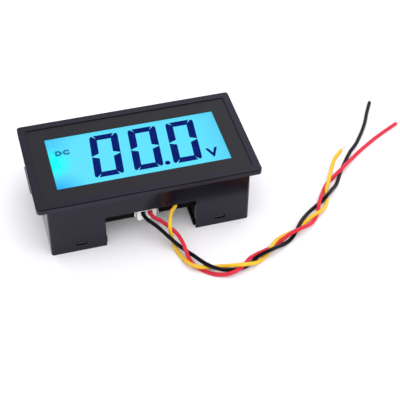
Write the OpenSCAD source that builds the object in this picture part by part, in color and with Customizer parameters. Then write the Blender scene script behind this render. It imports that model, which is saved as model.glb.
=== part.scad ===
// Digital panel meter with a backlit liquid-crystal display, for a rectangular panel cut-out.
// Millimetres. +Z is out of the display's face, X is along the bezel, +Y is up on the display.
// The origin is on the plane of the two rear feet, under the middle of the bezel.

/* [Bezel] */
// Length of the bezel
bezel_l = 79.3; // [78:0.1:96]
// Height of the bezel across the display
bezel_w = 43.7; // [42.5:0.1:60]
// Thickness of the bezel's flange
bezel_t = 2; // [1.6:0.1:2.6]
// Corner radius of the bezel
bezel_r = 1.5; // [0.8:0.1:3]
// Chamfer along the front edges
edge_chamfer = 0.15; // [0.1:0.05:0.8]
// Overhang of the flange past the body at each end
flange_x = 3.5; // [2.6:0.05:4.1]
// Overhang of the flange past the body above and below
flange_y = 2.4; // [1.4:0.05:2.5]
// Width of the raised rim at each end
rim_x = 2.65; // [1.8:0.05:3.3]
// Width of the raised rim above and below
rim_y = 2.8; // [2.2:0.1:3.6]
// Height of the rim over the front overlay
rim_step = 0.3; // [0.2:0.05:0.6]

/* [Housing] */
// Depth from the feet to the front of the rim
depth = 25.6; // [24.6:0.2:32]
// Wall thickness of the housing
wall = 1.5; // [1.3:0.1:1.8]
// Corner radius of the body
body_r = 1; // [0.6:0.1:1.4]
// Thickness of the face plate around the display
face_t = 2.2; // [1.8:0.1:2.6]
// Thickness of the lip that frames the display
lip_t = 0.45; // [0.35:0.05:0.8]
// Width of the notch between the two legs
notch_w = 32.6; // [31:0.2:34]
// How far the notch's edge lies under the circuit board
notch_drop = 0.3; // [0.2:0.1:0.6]
// Width of the snap slots
slot_w = 3.7; // [3:0.1:5]
// Height of the snap slots
slot_h = 1.6; // [1.2:0.1:2]
// Height of the snap slots' centre over the feet
slot_z = 3.6; // [3:0.1:4.4]
// Distance of the snap slots' centre from the leg's inner edge
slot_in = 9; // [6:0.5:14]

/* [Display] */
// Border of the overlay at each end of the display window
border_x = 6; // [5.7:0.1:9]
// Border of the overlay above and below the display window
border_y = 6.05; // [5.85:0.05:8]
// Thickness of the printed overlay
overlay_t = 0.25; // [0.15:0.05:0.4]
// Thickness of each glass plate
glass_t = 0.7; // [0.5:0.1:0.9]
// Thickness of each polariser
polarizer_t = 0.2; // [0.1:0.05:0.3]
// Gap between the glass plates, filled by the seal and the segments
cell_t = 0.1; // [0.08:0.01:0.2]
// Border of the lip's opening round the window
opening_border = 1.2; // [0.8:0.1:1.4]
// Border of the front glass at each end of the window
glass_border_x = 2; // [1.8:0.1:2.4]
// Contact ledge of the front glass above and below the window
glass_border_y = 4; // [3.9:0.1:4.3]
// Border of the rear glass above and below the window
rear_border_y = 1.8; // [1.5:0.1:1.9]
// Width of the seal between the glass plates
seal_w = 0.4; // [0.3:0.1:0.7]

/* [Digits] */
// Space from the digits to the window's upper edge
digit_above = 1; // [0.5:0.1:4]
// Space from the digits to the window's lower edge
digit_below = 3.9; // [1:0.1:5]
// Width of a digit
digit_w = 9.5; // [7:0.1:10.5]
// Distance from one digit to the next
digit_pitch = 14.1; // [12:0.1:15]
// Width of a segment
segment_w = 2.2; // [1.4:0.1:2.6]
// Gap between two segments
segment_gap = 0.35; // [0.2:0.05:0.6]
// Slant of the digits in degrees
slant = 5.5; // [0:0.5:10]
// Lower left corner of the first digit, along X
digit_x = -16.9; // [-18:0.1:-14]
// Radius of the decimal point
point_r = 0.95; // [0.6:0.05:1.2]

/* [Backlight] */
// Thickness of the light guide
guide_t = 2.3; // [1.8:0.1:3]
// Thickness of the diffuser and reflector films
film_t = 0.2; // [0.1:0.05:0.3]
// Thickness of the lamp at the end of the light guide
lamp_t = 1.1; // [0.8:0.1:1.6]
// Length of the lamp along the light guide's end
lamp_l = 3.2; // [2:0.1:6]
// Thickness of the display holder's tray
tray_t = 1.2; // [0.8:0.1:1.6]

/* [Circuit board] */
// Thickness of the circuit board
board_t = 1.6; // [1.2:0.1:2]
// Height of the contact strips between board and glass
strip_h = 8.1; // [7.9:0.1:8.4]
// Width of the contact strips
strip_w = 1; // [0.8:0.1:1.1]
// Distance of the contact strips' ends from the window's ends
strip_in = 2; // [1:0.5:6]
// Place of the converter chip along X
chip_x = -14; // [-20:1:-12]
// Side of the converter chip
chip_w = 10; // [7:0.5:12]
// Height of the converter chip
chip_h = 2; // [1.4:0.1:2.4]
// Radius of the supply capacitor
can_r = 2.5; // [2:0.1:2.8]
// Gap between the supply capacitor and the rear cover
can_gap = 2; // [1.5:0.5:6]
// Place of the supply capacitors along Y
can_y = 9; // [4:0.5:12]
// Width of the film capacitors
film_cap_w = 7.2; // [5:0.1:9]
// Thickness of the film capacitors
film_cap_t = 2.6; // [2:0.1:3.2]
// Height of the film capacitors
film_cap_h = 6; // [4:0.1:9]
// Distance from one film capacitor to the next
film_cap_step = 4.5; // [3.6:0.1:5]
// Place of the middle film capacitor along Y
film_cap_y = -5; // [-8:0.5:-4]
// Side of the calibration trimmer
trimmer_w = 6.6; // [5.6:0.1:8]
// Height of the calibration trimmer's body
trimmer_h = 4.6; // [4:0.1:6]
// Radius of the trimmer's screw
screw_r = 1.6; // [1.2:0.1:2]
// Place of the trimmer along X
trimmer_x = 24; // [22.5:0.5:28]
// Place of the trimmer along Y
trimmer_y = 6; // [2:0.5:10]
// Place of the voltage regulator along Y
regulator_y = -4; // [-6:0.5:-2]
// Place of the first row of resistors along Y
resistor_y = -12.5; // [-14:0.5:-11]

/* [Connector] */
// Place of the connector's centre along X
connector_x = -1.2; // [-3:0.1:1]
// Distance between the two contacts
pitch = 2.5; // [2.5:0.1:3]
// Width of the plug
plug_w = 6.8; // [6.6:0.1:7.4]
// Height of the plug
plug_h = 5.6; // [5:0.1:5.8]
// Length of the plug
plug_l = 8.8; // [8:0.1:9.4]
// How far the plug stands out of the header
plug_out = 2.5; // [2:0.1:3]
// Distance of the plug's wire face from the body's near side
plug_in = 1.75; // [1.6:0.05:2.5]
// Height of the header
header_h = 6.9; // [6.7:0.1:7.2]
// Length of the header
header_l = 9; // [8.8:0.1:10]
// Wall of the header at its sides
header_wall = 0.75; // [0.6:0.05:1]
// Wall of the header at its foot
header_foot = 0.55; // [0.5:0.05:0.7]
// Side of the square contact pins
pin_w = 0.64; // [0.5:0.02:0.7]

/* [Rear cover] */
// Thickness of the rear cover
cover_t = 1.2; // [1:0.1:1.5]
// Gap between the rear cover's centre plate and the board
cover_gap = 3; // [2.8:0.1:3.4]
// Radius of the posts under the board
post_r = 1.6; // [1:0.1:1.8]
// Distance of the posts' centres from the rear cover's edge
post_in = 4.85; // [3.5:0.05:6]
// Height of the ribs along the feet's inner edges
foot_rib_h = 2.6; // [1.6:0.1:3]
// Thickness of the ribs along the feet's inner edges
foot_rib_t = 0.5; // [0.3:0.1:0.8]
// Radius of the hole over the trimmer
access_r = 1.8; // [1.7:0.1:2.4]

/* [Panel latches] */
// Width of a latch
latch_w = 13.2; // [8:0.2:16]
// Thickness of a latch's arm
latch_t = 0.8; // [0.6:0.05:0.9]
// Height of the latch's pivot over the feet
latch_z = 7.6; // [6.5:0.1:9]
// Radius of the latch's pivot barrel
latch_r = 0.8; // [0.6:0.05:0.85]
// Depth of the pivot under the body's end wall
latch_depth = 1; // [0.95:0.05:1.1]
// Free angle of the latch from the wall, in degrees
latch_angle = 16.5; // [13:0.5:20]
// Thickest panel that the latches hold
panel_max = 3.2; // [2:0.1:5]

/* [Wires] */
// Diameter of a wire
wire_d = 1.4; // [1:0.05:1.4]
// Radius of a wire's bare conductor
core_r = 0.4; // [0.2:0.05:0.45]
// Bare length at the free ends
core_l = 3.6; // [2:0.1:6]

/* [Hidden] */
$fn = 48;

// Clearances
fit = 0.1; // between pieces that drop into each other
slip = 0.05; // round pivots, pins and plugs
over = 1; // how far a cut runs past a face

// Web left behind a latch's recess
latch_web = 0.9;

// Body
body_l = bezel_l - 2 * flange_x;
body_w = bezel_w - 2 * flange_y;
cavity_l = body_l - 2 * wall;
cavity_w = body_w - 2 * wall;
recess_l = bezel_l - 2 * rim_x;
recess_w = bezel_w - 2 * rim_y;

// Heights, from the front to the back
overlay_z = depth - rim_step - overlay_t;
flange_z = depth - bezel_t;
face_z = overlay_z - face_t;
lip_z = overlay_z - lip_t;
front_glass_z = lip_z - glass_t;
cell_z = front_glass_z - cell_t;
rear_glass_z = cell_z - glass_t;
rear_polarizer_z = rear_glass_z - polarizer_t;
diffuser_z = rear_polarizer_z - film_t;
guide_z = diffuser_z - guide_t;
reflector_z = guide_z - film_t;
tray_z = reflector_z - tray_t;
board_top = front_glass_z - strip_h;
board_z = board_top - board_t;
notch_z = board_z - notch_drop;
plate_top = board_z - cover_gap;
plate_z = plate_top - cover_t;
can_h = board_z - cover_t - can_gap;

// Display outlines
window_l = recess_l - 2 * border_x;
window_w = recess_w - 2 * border_y;
digit_h = window_w - digit_above - digit_below;
digit_y = digit_below - window_w / 2;
strip_l = window_l - 2 * strip_in;
opening_l = window_l + 2 * opening_border;
opening_w = window_w + 2 * opening_border;
glass_l = window_l + 2 * glass_border_x;
glass_w = window_w + 2 * glass_border_y;
rear_glass_w = window_w + 2 * rear_border_y;
pocket_l = opening_l + 2 * fit;
pocket_w = rear_glass_w + 2 * fit;
strip_y = (pocket_w + glass_w) / 4;
board_l = body_l - 2 * (latch_depth + latch_t / 2 + latch_web + 3 * fit);
board_w = cavity_w - 4 * fit;

// Legs and slots
notch_half = notch_w / 2;
slot_x = notch_half + slot_in;
hook_t = 1;
hook_out = 1.3;
lip_w = 1;

// Connector
plug_y = plug_in - body_w / 2;
header_y = plug_y + plug_out;
header_w = plug_w + 2 * slip + 2 * header_wall;
header_back = header_y + header_l;
socket_w = plug_w + 2 * slip;
socket_h = plug_h + 2 * slip;
socket_z = board_z - header_h + header_foot;
contact_z = socket_z + socket_h / 2;
socket_end = plug_y + plug_l + 2 * fit;
channel_w = 1.7;
channel_h = 2.1;
key_w = 0.7;
key_h = 0.4;
key_x = plug_w / 2 - 0.9; // from the connector's centre to a key's
key_gap = 0.1; // round a key in its slot
contact_window = [1.1, 1.5];
window_y = 5.2; // from the plug's wire face to the windows' centre
crimp_y = plug_y + 1;
barrel_end = crimp_y + 2.8;
contact_end = plug_y + plug_l - 0.3;
pin_start = socket_end - 5;
pin_y = header_back + 1.2;
pin_rise = 0.8;

// Trimmer
screw_depth = 2.4;
screw_out = 0.3;

// Latches
latch_recess = latch_depth + latch_t / 2 + fit;
latch_side = 0.3;
trunnion = 0.5;
latch_x = body_l / 2 - latch_depth;
latch_tip_z = flange_z - panel_max;
latch_len = (latch_tip_z - latch_z) / cos(latch_angle);
latch_room = latch_w + 2 * latch_side;
latch_step = 0.5;

// Wire routes, in millimetres
contact_x = [connector_x - pitch / 2, connector_x + pitch / 2];
straight_y = plug_y - 0.7; // where a wire starts to bend away from the plug
sense_z = board_z - 0.2 - wire_d / 2; // close under the board
black_route = [
  [contact_x[0], crimp_y, contact_z], [contact_x[0], straight_y, contact_z],
  [-1.5, -20.4, 10], [0.3, -21.9, 8.9],
  [2.2, -23.6, 7.5], [4.2, -25.7, 5.8], [6.6, -28, 3.8], [9.1, -30.4, 2.2],
  [11.7, -34.6, 2.4], [13.5, -38.6, 3.3], [15.4, -41.2, 3.5], [17.8, -42.4, 2.7],
  [20.6, -42.6, 1.4], [23.8, -42.8, 0.8], [27.3, -42.6, 0.7], [30.6, -41.3, 0.8],
  [33, -40.2, 1.9], [35.5, -40.2, 3.3], [37.8, -39.8, 3.7], [41.1, -38, 2.6],
  [44.1, -36.3, 1.3], [46.7, -34.8, 0.9], [49, -33.2, 1.5], [50.6, -31.6, 2.2],
  [52.5, -29.2, 2.2], [54.9, -26.4, 1.6], [58.3, -23.2, 0.8], [61.6, -21, 0.7],
  [64, -19.6, 0.7], [65.4, -19, 1.5], [66.9, -18.2, 2.2], [69.9, -15.4, 1.6],
  [73.3, -11.8, 0.7], [77.3, -5.8, 0.7], [84.3, 3.1, 0.7], [88.3, 7, 0.7],
  [92.3, 11.9, 0.7], [96.3, 17.7, 0.7], [99.3, 23.1, 0.7], [102.9, 29.1, 0.7]
];
red_route = [
  [contact_x[1], crimp_y, contact_z], [contact_x[1], straight_y, contact_z],
  [1.1, -20.1, 10.1], [3.1, -21, 8.8],
  [5.2, -22.3, 7.1], [7.7, -25.1, 5.4], [8.8, -29.1, 4.7], [9.2, -32.6, 3.6],
  [9.9, -35, 1.5], [11.5, -38.1, 0.7], [15.3, -42.1, 0.7], [19.7, -44.3, 1.1],
  [23, -44.7, 1.9], [25.9, -43.6, 2.1], [28.2, -42.1, 2.3], [30.3, -40.1, 2],
  [32.8, -38.2, 0.8], [36.3, -37.1, 0.7], [39.8, -36.2, 0.7], [42.2, -35.4, 0.8],
  [44, -34.9, 2], [46.8, -34.1, 3.3], [50.2, -33, 3.6], [54.6, -30.9, 2.4],
  [58.2, -28.1, 0.9], [60.6, -25.3, 0.7], [61.8, -23.2, 1.5], [62.8, -21.2, 2.5],
  [64.6, -18.3, 2.4], [67, -14.2, 0.8], [69.8, -10.9, 0.7], [72.3, -9.1, 0.8],
  [74.3, -8, 1.7], [77, -6.4, 2.3], [80.9, -3, 1.6], [86.3, 1.4, 0.7],
  [93.3, 6.1, 0.7], [100.3, 10.2, 0.7], [108.3, 14.3, 0.7]
];
yellow_route = [
  [11, -9.6, sense_z], [10.6, -12, sense_z], [9.9, -15.6, sense_z - 0.1], [8.8, -19, sense_z - 0.3],
  [7, -20.7, 12.1], [6.1, -22.4, 10.4], [5.5, -24.4, 8.2], [5.7, -25, 5.6],
  [6.1, -26, 2.9], [6.5, -28.4, 1.2], [7.6, -32.3, 0.9], [9, -36.7, 1.9],
  [11.2, -39.4, 2.4], [13.6, -40.1, 2.1], [16.6, -40.1, 1.3], [20.1, -40.6, 1.3],
  [23.2, -42.4, 2.7], [26.4, -43.7, 3.7], [29.9, -43.3, 2.7], [33, -41.6, 0.9],
  [36.2, -39.6, 0.9], [37.9, -38.5, 1.9], [39.5, -37, 2.4], [41.7, -34.5, 1.8],
  [44.3, -32.5, 0.8], [47.3, -31.5, 0.7], [51.3, -30.4, 0.7], [54.8, -27.9, 0.7],
  [57.5, -26.7, 1.5], [59.9, -26, 2.3], [62.9, -24.4, 1.9], [66.1, -20.4, 0.7],
  [67.5, -17, 0.7], [68.1, -14.6, 1.4], [69.6, -12.2, 2.3], [71.5, -8.7, 2.1],
  [74.1, -3.8, 0.8], [77.3, 1.1, 0.7], [81.5, 5.2, 0.7]
];

// ---------------------------------------------------------------- shapes

module rounded_rect(l, w, r) {
  square([l - 2 * r, w], center = true);
  square([l, w - 2 * r], center = true);
  for (x = [-1, 1], y = [-1, 1])
    translate([x * (l / 2 - r), y * (w / 2 - r)])
      circle(r = r);
}

module block(l, w, z0, z1) {
  translate([-l / 2, -w / 2, z0])
    cube([l, w, z1 - z0]);
}

module slab(l, w, r, z0, z1) {
  translate([0, 0, z0])
    linear_extrude(z1 - z0)
      rounded_rect(l, w, r);
}

// A slab along X or Y whose upper edges are chamfered
module chamfered(across, along, z0, z1, c) {
  translate([0, along / 2, 0])
    rotate([90, 0, 0])
      linear_extrude(along)
        polygon([
          [-across / 2, z0], [across / 2, z0],
          [across / 2, z1 - c], [across / 2 - c, z1],
          [-across / 2 + c, z1], [-across / 2, z1 - c]
        ]);
}

module at_each_end() {
  for (s = [-1, 1])
    scale_side(s)
      children();
}

// The child as drawn on the +X side, or mirrored to the -X side
module scale_side(s) {
  if (s > 0)
    children();
  else
    mirror([1, 0, 0])
      children();
}

// ---------------------------------------------------------------- housing

module bezel_block() {
  intersection() {
    slab(bezel_l, bezel_w, bezel_r, flange_z, depth);
    chamfered(bezel_l, bezel_w + over, flange_z - over, depth, edge_chamfer);
    rotate([0, 0, 90])
      chamfered(bezel_w, bezel_l + over, flange_z - over, depth, edge_chamfer);
  }
}

module latch_pocket() {
  translate([body_l / 2 - latch_recess, -latch_room / 2, latch_z - latch_r - fit])
    cube([latch_recess + over, latch_room, latch_r + latch_len + 4 * fit]);
  translate([latch_x, 0, latch_z])
    rotate([90, 0, 0])
      cylinder(r = latch_r + slip, h = latch_room + 2 * trunnion + 2 * slip, center = true);
}

module latch_pad() {
  pad_w = latch_room + 2 * trunnion + 2 * wall;
  translate([body_l / 2 - latch_recess - latch_web, -pad_w / 2, latch_z - 2 * latch_r])
    cube([latch_recess + latch_web - wall / 2, pad_w, face_z - latch_z + 2 * latch_r]);
}

module snap_slots() {
  for (x = [-1, 1])
    translate([x * slot_x, 0, slot_z])
      cube([slot_w, body_w + over, slot_h], center = true);
}

module housing() {
  color([0.2, 0.2, 0.22])
    difference() {
      union() {
        bezel_block();
        slab(body_l - fit, body_w - fit, body_r, face_z, flange_z + fit);
        difference() {
          slab(body_l, body_w, body_r, 0, flange_z);
          block(cavity_l, cavity_w, -over, face_z);
        }
        at_each_end()
          latch_pad();
      }
      slab(recess_l, recess_w, bezel_r / 2, overlay_z, depth + over);
      block(opening_l, opening_w, face_z - over, depth);
      block(glass_l + 3 * fit, glass_w + 3 * fit, face_z - over, lip_z);
      block(notch_w, body_w + over, -over, notch_z);
      snap_slots();
      at_each_end()
        latch_pocket();
    }
}

module front_overlay() {
  color([0.17, 0.17, 0.18])
    difference() {
      slab(recess_l - 2 * fit, recess_w - 2 * fit, bezel_r / 2 - fit, overlay_z, overlay_z + overlay_t);
      block(window_l, window_w, overlay_z - over, depth);
    }
}

// ---------------------------------------------------------------- display cell

module lcd_front_polarizer() {
  color([0.5, 0.85, 0.95, 0.4])
    block(opening_l - 2 * fit, opening_w - 2 * fit, lip_z, lip_z + polarizer_t);
}

module lcd_front_glass() {
  color([0.8, 0.95, 1, 0.3])
    block(glass_l, glass_w, front_glass_z, lip_z);
}

module lcd_rear_glass() {
  color([0.8, 0.95, 1, 0.3])
    block(opening_l, rear_glass_w, rear_glass_z, cell_z);
}

module lcd_rear_polarizer() {
  color([0.5, 0.85, 0.95, 0.4])
    block(opening_l - 2 * fit, rear_glass_w - 2 * fit, rear_polarizer_z, rear_glass_z);
}

module lcd_edge_seal() {
  color([0.85, 0.85, 0.8])
    difference() {
      block(opening_l, rear_glass_w, cell_z, front_glass_z);
      block(opening_l - 2 * seal_w, rear_glass_w - 2 * seal_w, cell_z - over, depth);
    }
}

// Slanted points of a digit's segment
function slanted(points) = [for (p = points) [p[0] + p[1] * tan(slant), p[1]]];

corner = 0.5; // how far the corner gap starts from the digit's outer corner
nick = 1.1; // height of the slanted ends at the digit's middle

// The upper left segment, with its rounded outer corner
function side_points(top, middle) = [
  [0, middle], [segment_w, middle + nick],
  [segment_w, top - segment_w + corner - segment_gap / 2],
  [corner + segment_gap / 2, top], [0.25 * corner, top - corner], [0, top - 2.4 * corner]
];

function cap_points() = [
  [corner + 2 * segment_gap, digit_h], [digit_w - corner - 2 * segment_gap, digit_h],
  [digit_w - segment_w - segment_gap / 2, digit_h - segment_w],
  [segment_w + segment_gap / 2, digit_h - segment_w]
];

function flip_x(points) = [for (p = points) [digit_w - p[0], p[1]]];
function flip_y(points) = [for (p = points) [p[0], digit_h - p[1]]];

// A zero: every segment but the middle one
module zero_digit() {
  side = side_points(digit_h, digit_h / 2 + segment_gap / 2);
  for (s = [side, flip_x(side), flip_y(side), flip_x(flip_y(side)), cap_points(), flip_y(cap_points())])
    polygon(slanted(s));
}

module lcd_segments() {
  color([0.03, 0.04, 0.3])
    translate([digit_x, digit_y, cell_z])
      linear_extrude(cell_t) {
        for (i = [0:2])
          translate([i * digit_pitch, 0])
            zero_digit();
        translate([2 * digit_pitch - (digit_pitch - digit_w) / 2, point_r])
          circle(r = point_r);
      }
}

// ---------------------------------------------------------------- backlight

module backlight_diffuser() {
  color([0.85, 0.97, 1])
    block(pocket_l - 2 * fit, pocket_w - 2 * fit, diffuser_z, rear_polarizer_z);
}

module backlight_guide() {
  guide_l = pocket_l - 2 * fit - lamp_t;
  color([0.35, 0.85, 0.95])
    translate([lamp_t / 2, 0, 0])
      block(guide_l, pocket_w - 2 * fit, guide_z, diffuser_z);
}

module backlight_reflector() {
  color([0.95, 0.95, 0.95])
    translate([lamp_t / 2, 0, 0])
      block(pocket_l - 2 * fit - lamp_t, pocket_w - 2 * fit, reflector_z, guide_z);
}

lamp_foot = 0.5; // width of the lamp's two legs

module backlight_lamp() {
  lamp_x = fit - pocket_l / 2;
  color([0.75, 0.95, 1]) {
    translate([lamp_x, -lamp_l / 2, reflector_z])
      cube([lamp_t, lamp_l, diffuser_z - reflector_z]);
    for (y = [-1, 1])
      translate([lamp_x + lamp_t / 4, y * lamp_l / 4 - lamp_foot / 2, board_top])
        cube([lamp_t / 2, lamp_foot, reflector_z - board_top]);
  }
}

module display_holder() {
  floor_border = 6;
  color([0.92, 0.92, 0.9])
    difference() {
      block(glass_l, glass_w, board_top, front_glass_z);
      block(pocket_l, pocket_w, reflector_z, depth);
      block(pocket_l, pocket_w, board_top - over, tray_z);
      block(pocket_l - 2 * floor_border, pocket_w - 2 * floor_border, tray_z - over, depth);
      translate([-pocket_l / 2, -lamp_l / 2 - fit, tray_z - over])
        cube([lamp_t + fit, lamp_l + 2 * fit, tray_t + 2 * over]);
      for (y = [-1, 1])
        translate([0, y * strip_y, 0])
          block(strip_l + 2 * slip, strip_w + 2 * slip, board_top - over, depth);
    }
}

module contact_strip(side) {
  color([0.95, 0.6, 0.65])
    translate([0, side * strip_y, 0])
      block(strip_l, strip_w, board_top, front_glass_z);
}

module contact_strip_upper() {
  contact_strip(1);
}

module contact_strip_lower() {
  contact_strip(-1);
}

// ---------------------------------------------------------------- circuit board

module pin_holes() {
  for (s = [-1, 1])
    translate([connector_x + s * pitch / 2, pin_y, board_z - over])
      cylinder(r = pin_w / sqrt(2) + slip, h = board_t + 2 * over);
}

module circuit_board() {
  color([0.1, 0.4, 0.2])
    difference() {
      block(board_l, board_w, board_z, board_top);
      pin_holes();
    }
}

module converter_chip() {
  lead_w = 0.35;
  lead_t = 0.2;
  lead_out = 1.2;
  lead_step = 0.8;
  leads = floor((chip_w - 1.2) / lead_step);
  color([0.12, 0.12, 0.13])
    translate([chip_x, 0, board_top]) {
      block(chip_w, chip_w, 0, chip_h);
      for (turn = [0:3], i = [0:leads - 1])
        rotate([0, 0, 90 * turn])
          translate([chip_w / 2, (i - (leads - 1) / 2) * lead_step - lead_w / 2, 0])
            cube([lead_out, lead_w, lead_t]);
    }
}

left_x = -(notch_half + cavity_l / 2) / 2;

module supply_capacitors() {
  can_space = 1.6;
  groove_up = 2;
  groove_r = 0.5;
  color([0.15, 0.2, 0.4])
    for (x = [-1, 1])
      translate([left_x + x * (can_r + can_space / 2), can_y, board_z - can_h])
        difference() {
          cylinder(r = can_r, h = can_h);
          translate([0, 0, can_h - groove_up])
            rotate_extrude()
              translate([can_r + groove_r / 2, 0])
                circle(r = groove_r);
        }
}

module film_capacitors() {
  color([0.5, 0.15, 0.1])
    for (y = [-1, 0, 1])
      translate([left_x, film_cap_y + film_cap_step * y, 0])
        block(film_cap_w, film_cap_t, board_z - film_cap_h, board_z);
}

module chip_resistors() {
  size = [2, 1.25, 0.5];
  step = [2.4, 2.6];
  columns = 4;
  color([0.1, 0.1, 0.1])
    for (column = [0:columns - 1], row = [0, 1])
      translate([trimmer_x, resistor_y + row * step[1], board_z - size[2] / 2])
        translate([(column - (columns - 1) / 2) * step[0], 0, 0])
          cube(size, center = true);
}

module voltage_regulator() {
  can = 2.4;
  body_h = 4.6;
  stand = 2.4;
  lead_step = 1.27;
  lead_r = 0.25;
  color([0.1, 0.1, 0.1])
    translate([trimmer_x, regulator_y, board_z]) {
      difference() {
        translate([0, 0, -stand - body_h])
          cylinder(r = can, h = body_h);
        translate([-can, can / 2, -stand - body_h - over])
          cube([2 * can, can, body_h + 2 * over]);
      }
      for (i = [-1:1])
        translate([i * lead_step, 0, -stand])
          cylinder(r = lead_r, h = stand);
    }
}

module trimmer_body() {
  color([0.15, 0.3, 0.7])
    translate([trimmer_x, trimmer_y, board_z - trimmer_h])
      difference() {
        block(trimmer_w, trimmer_w, 0, trimmer_h);
        translate([0, 0, -over])
          cylinder(r = screw_r + slip, h = screw_depth + slip + over);
      }
}

module trimmer_screw() {
  slot = 0.5;
  slot_deep = 0.8;
  color([0.85, 0.75, 0.45])
    translate([trimmer_x, trimmer_y, board_z - trimmer_h])
      difference() {
        translate([0, 0, -screw_out])
          cylinder(r = screw_r, h = screw_out + screw_depth);
        translate([-screw_r - over, -slot / 2, -screw_out - over])
          cube([2 * (screw_r + over), slot, slot_deep + over]);
      }
}

// ---------------------------------------------------------------- connector

module pin_header() {
  color([0.95, 0.95, 0.93])
    difference() {
      translate([connector_x - header_w / 2, header_y, board_z - header_h])
        cube([header_w, header_l, header_h]);
      translate([connector_x - socket_w / 2, header_y - over, socket_z])
        cube([socket_w, socket_end - header_y + over, socket_h]);
      for (s = [-1, 1])
        translate([connector_x + s * pitch / 2, socket_end - over, contact_z])
          translate([-pin_w / 2 - slip, 0, -pin_w / 2 - slip])
            cube([pin_w + 2 * slip, header_l, pin_w + 2 * slip]);
      for (s = [-1, 1])
        translate([connector_x + s * key_x - key_w / 2 - key_gap, header_y - over, board_z - header_h - over])
          cube([key_w + 2 * key_gap, socket_end - header_y + over, header_foot + 2 * over]);
    }
}

module header_pins() {
  color([0.85, 0.8, 0.6])
    for (s = [-1, 1])
      translate([connector_x + s * pitch / 2 - pin_w / 2, 0, 0]) {
        translate([0, pin_start, contact_z - pin_w / 2])
          cube([pin_w, pin_y + pin_w / 2 - pin_start, pin_w]);
        translate([0, pin_y - pin_w / 2, contact_z - pin_w / 2])
          cube([pin_w, pin_w, board_top + pin_rise - contact_z + pin_w / 2]);
      }
}

module plug_housing() {
  color([0.96, 0.96, 0.94])
    difference() {
      union() {
        translate([connector_x - plug_w / 2, plug_y, contact_z - plug_h / 2])
          cube([plug_w, plug_l, plug_h]);
        for (s = [-1, 1])
          translate([connector_x + s * key_x - key_w / 2, plug_y, contact_z - plug_h / 2 - key_h])
            cube([key_w, plug_l, key_h + slip]);
      }
      for (s = [-1, 1])
        translate([connector_x + s * pitch / 2, 0, 0]) {
          translate([-channel_w / 2, plug_y - over, contact_z - channel_h / 2])
            cube([channel_w, plug_l + 2 * over, channel_h]);
          translate([0, plug_y + window_y, 0])
            block(contact_window[0], contact_window[1], contact_z - plug_h / 2 - over, contact_z);
        }
    }
}

module plug_contacts() {
  color([0.85, 0.8, 0.6])
    for (s = [-1, 1])
      translate([connector_x + s * pitch / 2, 0, contact_z])
        difference() {
          union() {
            translate([0, barrel_end, 0])
              rotate([90, 0, 0])
                cylinder(r = channel_w / 2 - slip - 0.1, h = barrel_end - crimp_y);
            translate([slip - channel_w / 2, barrel_end - slip, slip - channel_h / 2])
              cube([channel_w - 2 * slip, contact_end - barrel_end + slip, channel_h - 2 * slip]);
          }
          translate([-pin_w / 2 - slip, pin_start - fit, -pin_w / 2 - slip])
            cube([pin_w + 2 * slip, plug_l, pin_w + 2 * slip]);
        }
}

// The sense wire's conductor, soldered flat under the board
module solder_joint() {
  start = yellow_route[0];
  run = yellow_route[1] - start;
  away = atan2(-run[0], -run[1]);
  stub = 1.6;
  joint_r = 1.3;
  joint_top = 0.6;
  color([0.8, 0.8, 0.78])
    translate(start)
      rotate([0, 0, -away]) {
        rotate([-90, 0, 0])
          cylinder(r = core_r, h = stub);
        translate([0, stub, -core_r])
          cylinder(r1 = joint_top, r2 = joint_r, h = board_z - start[2] + core_r);
      }
}

// ---------------------------------------------------------------- rear cover

module snap_hook() {
  hook_w = slot_w - 4 * fit;
  translate([slot_x - hook_w / 2, cavity_w / 2 - fit - hook_t, cover_t - fit])
    cube([hook_w, hook_t, slot_z + slot_h / 2 - cover_t]);
  translate([slot_x - hook_w / 2, cavity_w / 2 - fit - hook_t, slot_z - slot_h / 2 + fit])
    cube([hook_w, hook_t + hook_out, slot_h - 3 * fit]);
}

module cover_leg() {
  cover_w = cavity_w - 2 * fit;
  translate([notch_half, -cover_w / 2, 0])
    cube([cavity_l / 2 - fit - notch_half, cover_w, cover_t]);
  translate([notch_half, -cover_w / 2, 0])
    cube([cover_t, cover_w, plate_top]);
  translate([notch_half - foot_rib_t, -cover_w / 2, 0])
    cube([foot_rib_t + cover_t / 2, cover_w, foot_rib_h]);
  for (side = [0, 1])
    mirror([0, side, 0])
      snap_hook();
}

module rear_cover() {
  cover_w = cavity_w - 2 * fit;
  post_x = notch_half - post_r - 0.5;
  post_y = cover_w / 2 - post_in;
  wire_notch = 3;
  wire_x = (yellow_route[2][0] + yellow_route[3][0]) / 2;
  color([0.16, 0.16, 0.17])
    difference() {
      union() {
        at_each_end()
          cover_leg();
        block(notch_w + 2 * cover_t, cover_w, plate_z, plate_top);
        for (y = [-1, 1])
          translate([0, y * (cover_w - lip_w) / 2, 0])
            block(notch_w - 2 * fit, lip_w, plate_z, notch_z - fit);
        for (x = [-1, 1], y = [-1, 1])
          translate([x * post_x, y * post_y, plate_z])
            cylinder(r = post_r, h = board_z - plate_z);
      }
      translate([connector_x - header_w / 2 - 3 * fit, -cover_w / 2 - over, plate_z - over])
        cube([header_w + 6 * fit, pin_y + pin_w / 2 + cover_w / 2 + over + 3 * fit, depth]);
      translate([wire_x - wire_notch / 2, -cover_w / 2 - over, plate_top])
        cube([wire_notch, lip_w + 2 * over, depth]);
      translate([trimmer_x, trimmer_y, -over])
        cylinder(r = access_r, h = cover_t + 2 * over);
    }
}

// ---------------------------------------------------------------- panel latches

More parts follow.
